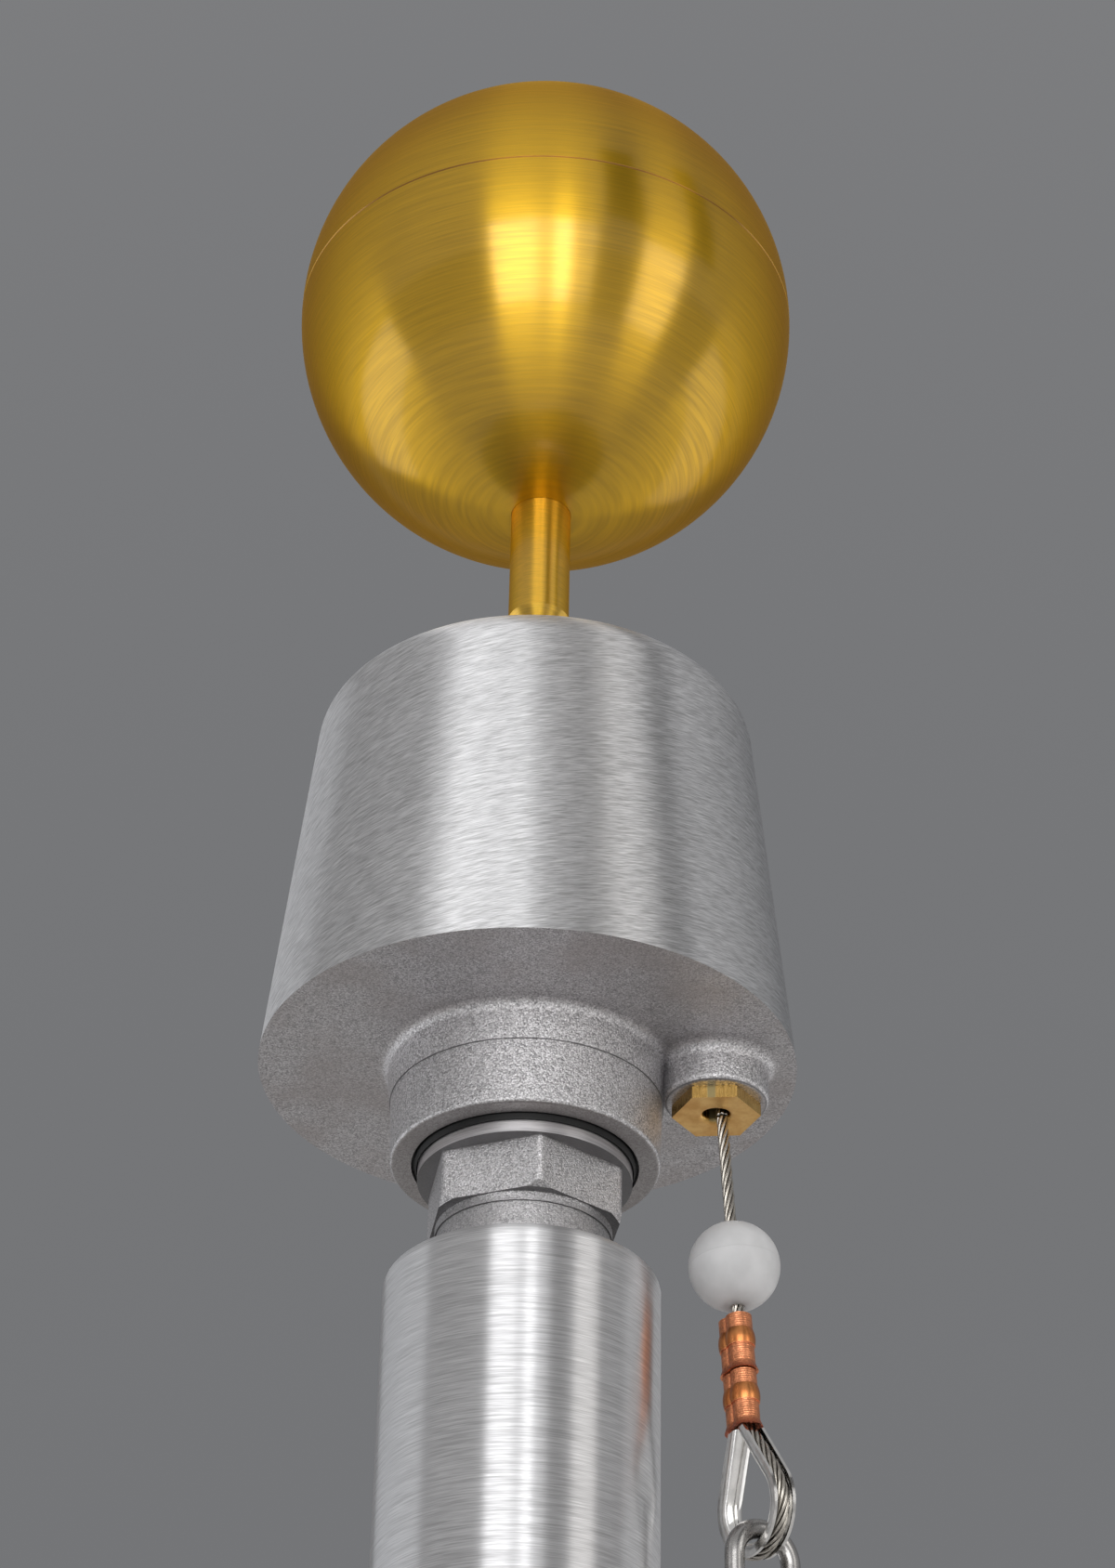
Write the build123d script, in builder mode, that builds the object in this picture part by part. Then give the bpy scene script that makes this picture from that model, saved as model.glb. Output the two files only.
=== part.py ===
from build123d import *
import os
from math import asin, atan2, cos, degrees, hypot, radians, sin, tan

# Head of a flagpole with an internal halyard: ball finial, revolving truck on its
# spindle, the top length of the pole and the halyard's end with its stop ball, sleeves,
# thimble and link. Sizes are in millimetres and angles in degrees. The origin is the
# middle of the pole's lower end, +Z is up, and the halyard comes out on the +X side.

os.makedirs("parts", exist_ok=True)

# Clearances
fit_gap = 0.1  # all round a piece that is screwed, pressed or pushed into another
running_gap = 0.3  # between the pieces that turn with the truck and those that stand

# Pole
pole_length = 520.0
pole_diameter = 73.0
pole_wall = 4.8
pole_edge_radius = 3.2
collar_depth = 32.0
collar_lead_in = 1.5

# Spindle
thread_diameter = 42.0
thread_length = 28.0
neck_diameter = 46.4
neck_length = 15.2
neck_bead_diameter = 47.2
neck_bead_height = 2.6
hex_across_flats = 48.2
hex_height = 14.8
hex_turn = -16.3
hex_edge_radius = 2.0
hex_lower_chamfer = 1.4
barrel_diameter = 57.6
barrel_entry = 3.5
journal_diameter = 38.0
journal_overhang = 5.0
spindle_bore = 25.4

# Bearings between the spindle and the hub
bearing_width = 12.0
bearing_spacing = 8.0
bearing_ring_width = 3.2
bearing_recess = 0.8
snap_ring_thickness = 1.8
snap_ring_width = 4.2
snap_ring_groove = 1.0
snap_ring_opening = 50.0

# Truck: tapered housing on a base with the hub and the guide's boss
truck_height = 114.4
truck_bottom_diameter = 146.6
truck_top_diameter = 123.0  # of the taper carried on to the full height
truck_edge_radius = 9.8
truck_wall = 6.0
truck_roof_thickness = 9.0
base_thickness = 8.0
spigot_height = 3.0
spigot_width = 5.0
hub_clearance = 4.8
hub_drop = 29.7
hub_diameter = 72.6
hub_draft = 0.6
hub_upper_diameter = 75.8
hub_upper_height = 11.1
hub_parting_step = 0.25
hub_upper_fillet = 3.0
hub_edge_radius = 1.2
hub_bore_diameter = 61.2
shoulder_thickness = 6.0
shoulder_bore = 48.0
shoulder_wall = 7.0
seal_height = 2.0
seal_setback = 1.3
seal_lip_width = 0.7  # at the hub's mouth
seal_lip_edge = 0.2
seal_lip_drop = 1.4  # of its edge under the hub's mouth

# Guide for the halyard
guide_offset = 51.35
boss_diameter = 28.6
boss_drop = 11.3
boss_fillet = 3.4
boss_edge_radius = 1.5
guide_across_flats = 20.8
guide_head = 3.7
guide_corner_chamfer = 0.3
guide_shank_diameter = 14.0
guide_bore = 7.0
guide_mouth_radius = 1.6

# Sheave inside the truck
sheave_height = 50.0  # of its axle over the truck's underside
sheave_width = 10.0
sheave_flange = 3.4  # beyond the middle of the wire
sheave_side_gap = 1.0
sheave_web = 5.0
sheave_hub_diameter = 20.0
sheave_rim = 4.0
sheave_groove_gap = 0.2
axle_diameter = 10.0
axle_overhang = 3.0
bush_wall = 1.5
clip_thickness = 1.2
clip_width = 2.5
cheek_thickness = 6.0
cheek_head_radius = 11.0
cheek_foot_start = 25.0
cheek_foot_length = 25.0

# Finial
cap_boss_diameter = 44.0
cap_boss_top_diameter = 34.0
cap_boss_height = 18.0
cap_boss_fillet = 3.0
cap_inner_boss_diameter = 30.0
cap_inner_boss_depth = 10.0
stud_diameter = 12.7
stud_share = 0.58  # of the stem's length
nut_across_flats = 19.0
nut_height = 8.0
nut_chamfer = 0.8
stem_diameter = 17.9
stem_gap = 37.6  # from the top of the truck to the stem's lower end
stem_chamfer = 3.0
stem_in_ball = 8.0
ball_diameter = 152.4
ball_height = 270.4  # of its middle over the truck's underside
ball_wall = 1.6
seam_chamfer = 0.35

# Halyard
wire_diameter = 3.175
fall_exit_offset = 1.53  # the wire leans on the outer side of the guide's bore
fall_lean = 3.62
fall_length = 92.0
stop_ball_diameter = 24.2
stop_ball_drop = 45.5  # from the guide's mouth to the ball's middle, along the wire
stop_ball_bore = 3.7
sleeve_length = 15.7
sleeve_gap = 0.3
sleeve_lobe_diameter = 6.9
sleeve_bulge_diameter = 7.9
sleeve_bulge_length = 4.9
sleeve_upper_band = 3.9
sleeve_crimp_step = 0.25
sleeve_flare_diameter = 8.2
sleeve_flare_length = 2.0
sleeve_rim = 0.7
sleeve_bore = 3.4
wire_spacing = 3.3
wire_knee_radius = 5.0
eye_turn = -55.3  # direction from the thimble's far leg to its near leg
eye_lean = 6.6  # of the thimble, towards +X
eye_swing = 4.95  # of the thimble, towards +Y
eye_offset = 0.8  # of the thimble's middle towards the live wire
thimble_length = 33.6
thimble_width = 26.0
thimble_gauge = 0.9
thimble_groove = 4.6
thimble_flange = 1.0
thimble_leg_spacing = 4.4  # at the sleeve's mouth
link_bar_diameter = 5.1
link_width = 21.8
link_length = 50.0

# Corners of the wire's route in the eye's plane, across it and up from the sleeve's mouth:
# down the near leg, round the thimble's end and up the far leg
eye_corners = [(5.0, -5.0), (13.1, -19.4), (9.7, -29.4), (0, -33.7), (-9.7, -29.4), (-13.1, -19.4), (-5.2, -5.0)]
live_knee_rise = 0.8  # of the bend in the live wire over the sleeve's mouth
tail_knee_drop = 0.4
largest_bend = 0.45  # of the shorter run that a bend may take

# Heights that follow
pole_top = pole_length
hex_bottom = pole_top + neck_length
hex_top = hex_bottom + hex_height
hub_bottom = hex_top + hub_clearance
floor = hub_bottom + hub_drop  # the truck's underside
roof = floor + truck_height
barrel_top = hub_bottom + barrel_entry
spacer_bottom = barrel_top + bearing_width
upper_bearing_bottom = spacer_bottom + bearing_spacing
bearings_top = upper_bearing_bottom + bearing_width
shoulder_bottom = bearings_top + running_gap
shoulder_top = shoulder_bottom + shoulder_thickness
journal_top = bearings_top + journal_overhang
base_top = floor + base_thickness
cavity_top = roof - truck_roof_thickness
axle_level = floor + sheave_height
boss_bottom = floor - boss_drop
guide_mouth = boss_bottom - guide_head
cap_boss_top = roof + cap_boss_height
stem_bottom = roof + stem_gap
ball_centre = floor + ball_height
stem_top = ball_centre - ball_diameter / 2 + ball_wall + stem_in_ball
stud_top = stem_bottom + stud_share * (stem_top - stem_bottom)

# Radii that follow
pole_inner_radius = pole_diameter / 2 - pole_wall
journal_radius = journal_diameter / 2
hub_bore_radius = hub_bore_diameter / 2
bearing_outer_radius = hub_bore_radius - running_gap
bearing_inner_radius = journal_radius + fit_gap
shoulder_outer_radius = hub_bore_radius + shoulder_wall
wire_radius = wire_diameter / 2

# The wire hangs from the guide on a straight line that leans outward. The sheave's pitch
# circle touches both that line and the pole's axis.
lean = radians(fall_lean)
fall_exit = guide_offset + fall_exit_offset
pitch_radius = (fall_exit * cos(lean) - (axle_level - guide_mouth) * sin(lean)) / (1 + cos(lean))


def truck_radius(height):
    """Outer radius of the tapered truck at a height over its underside."""
    taper = (truck_bottom_diameter - truck_top_diameter) / 2 / truck_height
    return truck_bottom_diameter / 2 - taper * height


spigot_radius = truck_radius(base_thickness + spigot_height) - truck_wall - fit_gap


def keep(piece, name):
    """Name a finished piece and write it to its own file."""
    piece.part.label = name
    export_step(piece.part, f"parts/{name}.step")


def ring(outer_radius, inner_radius, bottom, height):
    """Plain ring on the pole's axis."""
    with BuildPart() as plain_ring:
        with BuildSketch(Plane.XY.offset(bottom)):
            Circle(outer_radius)
            Circle(inner_radius, mode=Mode.SUBTRACT)
        extrude(amount=height)
    return plain_ring


def tube(path, radius):
    """Solid of a wire of the given radius along a path."""
    with BuildPart() as wire_tube:
        with BuildSketch(Plane(origin=path @ 0, z_dir=path % 0)):
            Circle(radius)
        sweep(path=path)
    return wire_tube


# Pole: a tube with a rounded top edge and a threaded collar pressed into its mouth
with BuildPart() as pole_tube:
    with BuildSketch():
        Circle(pole_diameter / 2)
        Circle(pole_inner_radius, mode=Mode.SUBTRACT)
    extrude(amount=pole_length)
    fillet(pole_tube.edges().group_by(Axis.Z)[-1].sort_by(SortBy.RADIUS)[-1], pole_edge_radius)
keep(pole_tube, "pole_tube")

with BuildPart() as pole_collar:
    with BuildSketch(Plane.XY.offset(pole_top - collar_depth)):
        Circle(pole_inner_radius - fit_gap)
        Circle(thread_diameter / 2 + fit_gap, mode=Mode.SUBTRACT)
    extrude(amount=collar_depth)
    chamfer(pole_collar.edges().group_by(Axis.Z)[0], collar_lead_in)
keep(pole_collar, "pole_collar")

# Spindle: threaded shank, round neck with a bead, hexagon with rounded edges and chamfered
# lower corners, turned barrel in the hub's mouth and the journal for the bearings, bored
# through for the wire
hex_corner_radius = hex_across_flats / 2 / cos(radians(30)) - hex_edge_radius * (1 / cos(radians(30)) - 1)
with BuildPart() as spindle:
    with BuildSketch(Plane.XZ):
        with BuildLine():
            Polyline(
                (spindle_bore / 2, pole_top - thread_length),
                (thread_diameter / 2, pole_top - thread_length),
                (thread_diameter / 2, pole_top),
                (neck_diameter / 2, pole_top),
                (neck_diameter / 2, hex_bottom - neck_bead_height),
                (neck_bead_diameter / 2, hex_bottom - neck_bead_height),
                (neck_bead_diameter / 2, hex_bottom),
                (spindle_bore / 2, hex_bottom),
                close=True,
            )
        make_face()
        with BuildLine():
            Polyline(
                (spindle_bore / 2, hex_top),
                (barrel_diameter / 2, hex_top),
                (barrel_diameter / 2, barrel_top),
                (journal_radius, barrel_top),
                (journal_radius, journal_top),
                (spindle_bore / 2, journal_top),
                close=True,
            )
        make_face()
    revolve(axis=Axis.Z)
    with BuildSketch(Plane.XY.offset(hex_bottom)) as hex_section:
        RegularPolygon(hex_across_flats / 2, 6, major_radius=False, rotation=hex_turn)
        fillet(hex_section.vertices(), hex_edge_radius)
        Circle(spindle_bore / 2, mode=Mode.SUBTRACT)
    extrude(amount=hex_height)
    with BuildSketch(Plane.XZ):
        with BuildLine():
            Polyline(
                (hex_corner_radius - hex_lower_chamfer, hex_bottom),
                (hex_corner_radius + 1, hex_bottom + hex_lower_chamfer + 1),
                (hex_corner_radius + 1, hex_bottom),
                close=True,
            )
        make_face()
    revolve(axis=Axis.Z, mode=Mode.SUBTRACT)
    with BuildSketch(Plane.XY.offset(bearings_top)):
        Circle(journal_radius)
        Circle(journal_radius - snap_ring_groove, mode=Mode.SUBTRACT)
    extrude(amount=snap_ring_thickness + 2 * fit_gap, mode=Mode.SUBTRACT)
keep(spindle, "spindle")

# Bearings: two sealed rings on the journal with recessed shields, a spacer between them,
# and a snap ring over them in the journal's groove
for bearing_name, bearing_bottom in (("lower_bearing", barrel_top), ("upper_bearing", upper_bearing_bottom)):
    shield_planes = (
        Plane.XY.offset(bearing_bottom),
        Plane.XY.offset(bearing_bottom + bearing_width - bearing_recess),
    )
    with BuildPart() as bearing:
        with BuildSketch(Plane.XY.offset(bearing_bottom)):
            Circle(bearing_outer_radius)
            Circle(bearing_inner_radius, mode=Mode.SUBTRACT)
        extrude(amount=bearing_width)
        with BuildSketch(*shield_planes):
            Circle(bearing_outer_radius - bearing_ring_width)
            Circle(bearing_inner_radius + bearing_ring_width, mode=Mode.SUBTRACT)
        extrude(amount=bearing_recess, mode=Mode.SUBTRACT)
    keep(bearing, bearing_name)

bearing_spacer = ring(bearing_inner_radius + bearing_ring_width, bearing_inner_radius, spacer_bottom, bearing_spacing)
keep(bearing_spacer, "bearing_spacer")

snap_ring_radius = journal_radius - snap_ring_groove + fit_gap
with BuildPart() as snap_ring:
    with BuildSketch(Plane.XY.offset(bearings_top + fit_gap)):
        Circle(snap_ring_radius + snap_ring_width)
        Circle(snap_ring_radius, mode=Mode.SUBTRACT)
        with BuildLine():
            side = 2 * snap_ring_radius
            half_opening = radians(snap_ring_opening / 2)
            Polyline(
                (0, 0),
                (-side * cos(half_opening), side * sin(half_opening)),
                (-side * cos(half_opening), -side * sin(half_opening)),
                close=True,
            )
        make_face(mode=Mode.SUBTRACT)
    extrude(amount=snap_ring_thickness)
keep(snap_ring, "snap_ring")

# Seal in the hub's mouth, with a tapered lip round the spindle's barrel
seal_bottom = hub_bottom + seal_setback
seal_inner_radius = barrel_diameter / 2 + running_gap
with BuildPart() as hub_seal:
    with BuildSketch(Plane.XY.offset(seal_bottom)):
        Circle(hub_bore_radius - fit_gap / 2)
        Circle(seal_inner_radius, mode=Mode.SUBTRACT)
    extrude(amount=seal_height)
    with BuildSketch(Plane.XZ):
        with BuildLine():
            Polyline(
                (seal_inner_radius, seal_bottom),
                (seal_inner_radius, hub_bottom - seal_lip_drop),
                (seal_inner_radius + seal_lip_edge, hub_bottom - seal_lip_drop),
                (seal_inner_radius + seal_lip_width, hub_bottom),
                (seal_inner_radius + seal_lip_width, seal_bottom),
                close=True,
            )
        make_face()
    revolve(axis=Axis.Z)
keep(hub_seal, "hub_seal")

# Truck base: one casting with the round plate, the hub below it and the bearings'
# shoulder above it, the boss for the guide and the two cheeks that carry the sheave
cheek_start = sheave_width / 2 + sheave_side_gap
cheek_plane = Plane.XZ.offset(-(cheek_start + cheek_thickness))
foot_middle = cheek_foot_start + cheek_foot_length / 2
with BuildPart() as truck_base:
    with BuildSketch(Plane.XZ):
        with BuildLine():
            Polyline(
                (0, floor),
                (truck_bottom_diameter / 2, floor),
                (truck_radius(base_thickness), base_top),
                (spigot_radius, base_top),
                (spigot_radius, base_top + spigot_height),
                (spigot_radius - spigot_width, base_top + spigot_height),
                (spigot_radius - spigot_width, base_top),
                (shoulder_outer_radius, base_top),
                (shoulder_outer_radius, shoulder_top),
                (0, shoulder_top),
                close=True,
            )
        make_face()
    revolve(axis=Axis.Z)
    # Hub: drafted, with a fine step at the mould's parting line and a fillet at the top
    hub_radius = hub_diameter / 2
    upper_radius = hub_upper_diameter / 2
    parting_line = floor - hub_upper_height
    with BuildSketch(Plane.XZ):
        with BuildLine():
            Line((0, hub_bottom), (hub_radius - hub_edge_radius, hub_bottom))
            RadiusArc(
                (hub_radius - hub_edge_radius, hub_bottom),
                (hub_radius, hub_bottom + hub_edge_radius),
                -hub_edge_radius,
            )
            Line((hub_radius, hub_bottom + hub_edge_radius), (hub_radius + hub_draft, parting_line))
            Line((hub_radius + hub_draft, parting_line), (hub_radius + hub_draft + hub_parting_step, parting_line))
            Line((hub_radius + hub_draft + hub_parting_step, parting_line), (upper_radius, floor - hub_upper_fillet))
            RadiusArc(
                (upper_radius, floor - hub_upper_fillet),
                (upper_radius + hub_upper_fillet, floor),
                hub_upper_fillet,
            )
            Line((upper_radius + hub_upper_fillet, floor), (0, floor))
            Line((0, floor), (0, hub_bottom))
        make_face()
    revolve(axis=Axis.Z)
    # Boss for the guide
    boss_radius = boss_diameter / 2
    boss_axis = Axis((guide_offset, 0, 0), (0, 0, 1))
    with BuildSketch(Plane((guide_offset, 0, 0), x_dir=(1, 0, 0), z_dir=(0, -1, 0))):
        with BuildLine():
            Line((0, boss_bottom), (boss_radius - boss_edge_radius, boss_bottom))
            RadiusArc(
                (boss_radius - boss_edge_radius, boss_bottom),
                (boss_radius, boss_bottom + boss_edge_radius),
                -boss_edge_radius,
            )
            Line((boss_radius, boss_bottom + boss_edge_radius), (boss_radius, floor - boss_fillet))
            RadiusArc((boss_radius, floor - boss_fillet), (boss_radius + boss_fillet, floor), boss_fillet)
            Line((boss_radius + boss_fillet, floor), (0, floor))
            Line((0, floor), (0, boss_bottom))
        make_face()
    revolve(axis=boss_axis)
    # Cheeks for the sheave's axle
    with BuildSketch(cheek_plane):
        with Locations((pitch_radius, axle_level)):
            Circle(cheek_head_radius)
        with Locations((foot_middle, base_top)):
            Rectangle(cheek_foot_length, 2)
        make_hull()
        with Locations((pitch_radius, axle_level)):
            Circle(axle_diameter / 2 + fit_gap, mode=Mode.SUBTRACT)
    extrude(amount=cheek_thickness)
    mirror(about=Plane.XZ)
    # Bores: bearing seat with its shoulder, and the guide's hole
    with BuildSketch(Plane.XY.offset(hub_bottom)):
        Circle(hub_bore_radius)
    extrude(amount=shoulder_bottom - hub_bottom, mode=Mode.SUBTRACT)
    with BuildSketch(Plane.XY.offset(shoulder_bottom)):
        Circle(shoulder_bore / 2)
    extrude(amount=shoulder_thickness, mode=Mode.SUBTRACT)
    with BuildSketch(Plane.XY.offset(boss_bottom)):
        with Locations((guide_offset, 0)):
            Circle(guide_shank_diameter / 2 + fit_gap)
    extrude(amount=base_top - boss_bottom, mode=Mode.SUBTRACT)
keep(truck_base, "truck_base")

# Truck cap: tapered cup with a rounded top edge, a boss on top for the finial's stud and
# a shorter one under the roof
with BuildPart() as truck_cap:
    with BuildSketch(Plane.XZ):
        with BuildLine():
            Polyline(
                (0, base_top),
                (truck_radius(base_thickness), base_top),
                (truck_top_diameter / 2, roof),
                (0, roof),
                close=True,
            )
        make_face()
    revolve(axis=Axis.Z)
    fillet(truck_cap.edges().group_by(Axis.Z)[-1], truck_edge_radius)
    with BuildSketch(Plane.XZ) as cap_cavity:
        with BuildLine():
            Polyline(
                (0, base_top),
                (truck_radius(base_thickness) - truck_wall, base_top),
                (truck_radius(truck_height - truck_roof_thickness) - truck_wall, cavity_top),
                (0, cavity_top),
                close=True,
            )
        make_face()
        fillet(cap_cavity.vertices().group_by(Axis.Y)[-1].sort_by(Axis.X)[-1], truck_edge_radius - truck_wall)
    revolve(axis=Axis.Z, mode=Mode.SUBTRACT)
    with Locations((0, 0, roof)):
        Cone(
            cap_boss_diameter / 2,
            cap_boss_top_diameter / 2,
            cap_boss_height,
            align=(Align.CENTER, Align.CENTER, Align.MIN),
        )
    fillet(truck_cap.edges().filter_by_position(Axis.Z, roof, roof).sort_by(SortBy.RADIUS)[0], cap_boss_fillet)
    with BuildSketch(Plane.XY.offset(cavity_top)):
        Circle(cap_inner_boss_diameter / 2)
    extrude(amount=-cap_inner_boss_depth)
    with BuildSketch(Plane.XY.offset(cavity_top - cap_inner_boss_depth)):
        Circle(stud_diameter / 2 + fit_gap)
    extrude(amount=cap_boss_top - cavity_top + cap_inner_boss_depth, mode=Mode.SUBTRACT)
keep(truck_cap, "truck_cap")

# Halyard guide: hexagonal head under the boss, shank up through the base, and a bore with
# a rounded mouth
guide_corner_radius = guide_across_flats / 2 / cos(radians(30))
with BuildPart() as halyard_guide:
    with BuildSketch(Plane.XY.offset(guide_mouth)):
        with Locations((guide_offset, 0)):
            RegularPolygon(guide_across_flats / 2, 6, major_radius=False)
    extrude(amount=guide_head)
    with BuildSketch(Plane((guide_offset, 0, 0), x_dir=(1, 0, 0), z_dir=(0, -1, 0))):
        with BuildLine():
            Polyline(
                (guide_corner_radius - guide_corner_chamfer, boss_bottom),
                (guide_corner_radius + 1, boss_bottom - (guide_corner_chamfer + 1)),
                (guide_corner_radius + 1, boss_bottom),
                close=True,
            )
        make_face()
    revolve(axis=boss_axis, mode=Mode.SUBTRACT)
    with BuildSketch(Plane.XY.offset(boss_bottom)):
        with Locations((guide_offset, 0)):
            Circle(guide_shank_diameter / 2)
    extrude(amount=base_top - boss_bottom)
    with BuildSketch(Plane.XY.offset(guide_mouth)):
        with Locations((guide_offset, 0)):
            Circle(guide_bore / 2)
    extrude(amount=base_top - guide_mouth, mode=Mode.SUBTRACT)
    mouths = halyard_guide.edges().filter_by(GeomType.CIRCLE).filter_by(
        lambda edge: abs(edge.radius - guide_bore / 2) < fit_gap
    )
    fillet(mouths, guide_mouth_radius)
keep(halyard_guide, "halyard_guide")

# Sheave with a round groove, a web and a hub, on its bush, axle and clips
sheave_plane = Plane((pitch_radius, 0, axle_level), x_dir=(1, 0, 0), z_dir=(0, 0, 1))
sheave_axis = Axis((pitch_radius, 0, axle_level), (0, 1, 0))
sheave_radius = pitch_radius + sheave_flange
groove_radius = wire_radius + sheave_groove_gap
rim_inner_radius = pitch_radius - groove_radius - sheave_rim
bush_radius = axle_diameter / 2 + bush_wall
with BuildPart() as sheave:
    with BuildSketch(sheave_plane):
        with Locations(((bush_radius + fit_gap + sheave_hub_diameter / 2) / 2, 0)):
            Rectangle(sheave_hub_diameter / 2 - bush_radius - fit_gap, sheave_width)
        with Locations(((bush_radius + fit_gap + rim_inner_radius) / 2, 0)):
            Rectangle(rim_inner_radius - bush_radius - fit_gap, sheave_web)
        with Locations(((rim_inner_radius + sheave_radius) / 2, 0)):
            Rectangle(sheave_radius - rim_inner_radius, sheave_width)
        with Locations((pitch_radius, 0)):
            Circle(groove_radius, mode=Mode.SUBTRACT)
        with BuildLine():
            Polyline(
                (pitch_radius, -groove_radius),
                (pitch_radius, groove_radius),
                (sheave_radius, sheave_width / 2 - 1),
                (sheave_radius, 1 - sheave_width / 2),
                close=True,
            )
        make_face(mode=Mode.SUBTRACT)
    revolve(axis=sheave_axis)
keep(sheave, "sheave")

with BuildPart() as sheave_bush:
    with BuildSketch(Plane.XZ.offset(-sheave_width / 2)):
        with Locations((pitch_radius, axle_level)):
            Circle(bush_radius)
            Circle(axle_diameter / 2 + fit_gap, mode=Mode.SUBTRACT)
    extrude(amount=sheave_width)
keep(sheave_bush, "sheave_bush")

axle_half_length = cheek_start + cheek_thickness + axle_overhang
with BuildPart() as sheave_axle:
    with BuildSketch(Plane.XZ.offset(-axle_half_length)):
        with Locations((pitch_radius, axle_level)):
            Circle(axle_diameter / 2)
    extrude(amount=2 * axle_half_length)
keep(sheave_axle, "sheave_axle")

clip_start = cheek_start + cheek_thickness + fit_gap
with BuildPart() as axle_clips:
    with BuildSketch(Plane.XZ.offset(-(clip_start + clip_thickness))):
        with Locations((pitch_radius, axle_level)):
            Circle(axle_diameter / 2 + fit_gap + clip_width)
            Circle(axle_diameter / 2 + fit_gap, mode=Mode.SUBTRACT)
    extrude(amount=clip_thickness)
    mirror(about=Plane.XZ)
keep(axle_clips, "axle_clips")

# Finial: threaded stud with its jam nut, stem, and a ball of two spun half shells
with BuildPart() as finial_stud:
    with BuildSketch(Plane.XY.offset(cavity_top - cap_inner_boss_depth)):
        Circle(stud_diameter / 2)
    extrude(amount=stud_top - cavity_top + cap_inner_boss_depth)
keep(finial_stud, "finial_stud")

nut_corner_radius = nut_across_flats / 2 / cos(radians(30))
with BuildPart() as jam_nut:
    with BuildSketch(Plane.XY.offset(cap_boss_top)):
        RegularPolygon(nut_across_flats / 2, 6, major_radius=False)
        Circle(stud_diameter / 2 + fit_gap, mode=Mode.SUBTRACT)
    extrude(amount=nut_height)
    nut_top = cap_boss_top + nut_height
    with BuildSketch(Plane.XZ):
        with BuildLine():
            Polyline(
                (nut_corner_radius - nut_chamfer, nut_top),
                (nut_corner_radius + 1, nut_top - (nut_chamfer + 1) * tan(radians(30))),
                (nut_corner_radius + 1, nut_top),
                close=True,
            )
        make_face()
    revolve(axis=Axis.Z, mode=Mode.SUBTRACT)
keep(jam_nut, "jam_nut")

with BuildPart() as finial_stem:
    with BuildSketch(Plane.XY.offset(stem_bottom)):
        Circle(stem_diameter / 2)
    extrude(amount=stem_top - stem_bottom)
    chamfer(finial_stem.edges().group_by(Axis.Z)[0], stem_chamfer, stem_diameter / 2 - stud_diameter / 2 - 2 * fit_gap)
    with BuildSketch(Plane.XY.offset(stem_bottom)):
        Circle(stud_diameter / 2 + fit_gap)
    extrude(amount=stud_top - stem_bottom + fit_gap, mode=Mode.SUBTRACT)
keep(finial_stem, "finial_stem")

for shell_name, side in (("finial_ball_lower", -1), ("finial_ball_upper", 1)):
    with BuildPart() as half_shell:
        with BuildSketch(Plane.XZ):
            for radius, mode in ((ball_diameter / 2, Mode.ADD), (ball_diameter / 2 - ball_wall, Mode.SUBTRACT)):
                with BuildLine():
                    Line((0, ball_centre), (radius, ball_centre))
                    ThreePointArc(
                        (radius, ball_centre),
                        (radius * cos(radians(45)), ball_centre + side * radius * sin(radians(45))),
                        (0, ball_centre + side * radius),
                    )
                    Line((0, ball_centre + side * radius), (0, ball_centre))
                make_face(mode=mode)
        revolve(axis=Axis.Z)
        rim = half_shell.edges().filter_by_position(Axis.Z, ball_centre, ball_centre)
        chamfer(rim.sort_by(SortBy.RADIUS)[-1], seam_chamfer)
        if side < 0:
            with BuildSketch(Plane.XY.offset(stem_bottom)):
                Circle(stem_diameter / 2 + fit_gap)
            extrude(amount=stem_top - stem_bottom, mode=Mode.SUBTRACT)
    keep(half_shell, shell_name)

# Halyard from the pole's foot up through the spindle, over the sheave and down to the
# guide's mouth
with BuildPart() as halyard_in_pole:
    with BuildSketch():
        Circle(wire_radius)
    extrude(amount=journal_top)
keep(halyard_in_pole, "halyard_in_pole")

fall_start = Vector(fall_exit, 0, guide_mouth)
fall_direction = Vector(sin(lean), 0, -cos(lean))
sheave_centre = Vector(pitch_radius, 0, axle_level)
leaving_point = sheave_centre + Vector(cos(lean), 0, sin(lean)) * pitch_radius
with BuildLine() as sheave_route:
    Line((0, 0, journal_top), (0, 0, axle_level))
    ThreePointArc((0, 0, axle_level), (pitch_radius, 0, axle_level + pitch_radius), leaving_point)
    Line(leaving_point, fall_start)
keep(tube(sheave_route.wire(), wire_radius), "halyard_over_sheave")

# The wire's end is pressed into the sleeves beside the live wire. Up runs back along the
# wire, and across points from the tail to the live wire.
up = fall_direction * -1
turn_direction = Vector(cos(radians(eye_turn)), sin(radians(eye_turn)), 0)
across = (turn_direction - up * turn_direction.dot(up)).normalized()
fall_end = fall_start + fall_direction * fall_length
sleeves_origin = fall_end - across * (wire_spacing / 2)
live_wire_end = fall_end + up * (sleeve_length / 2)

# The eye below the sleeves leans a little more than the wire
eye_up = Vector(-tan(radians(eye_lean)), -tan(radians(eye_swing)), 1).normalized()
eye_across = (turn_direction - eye_up * turn_direction.dot(eye_up)).normalized()
eye_origin = sleeves_origin + across * eye_offset
thimble_normal = eye_across.cross(eye_up)

with BuildPart() as halyard_fall:
    with BuildSketch(Plane(origin=fall_start, z_dir=fall_direction)):
        Circle(wire_radius)
    extrude(amount=(live_wire_end - fall_start).length)
keep(halyard_fall, "halyard_fall")

# Stop ball on the wire
ball_middle = fall_start + fall_direction * stop_ball_drop
with BuildPart() as stop_ball:
    with Locations(Plane(origin=ball_middle, z_dir=up)):
        Sphere(stop_ball_diameter / 2)
        Cylinder(stop_ball_bore / 2, stop_ball_diameter, mode=Mode.SUBTRACT)
keep(stop_ball, "stop_ball")

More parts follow.
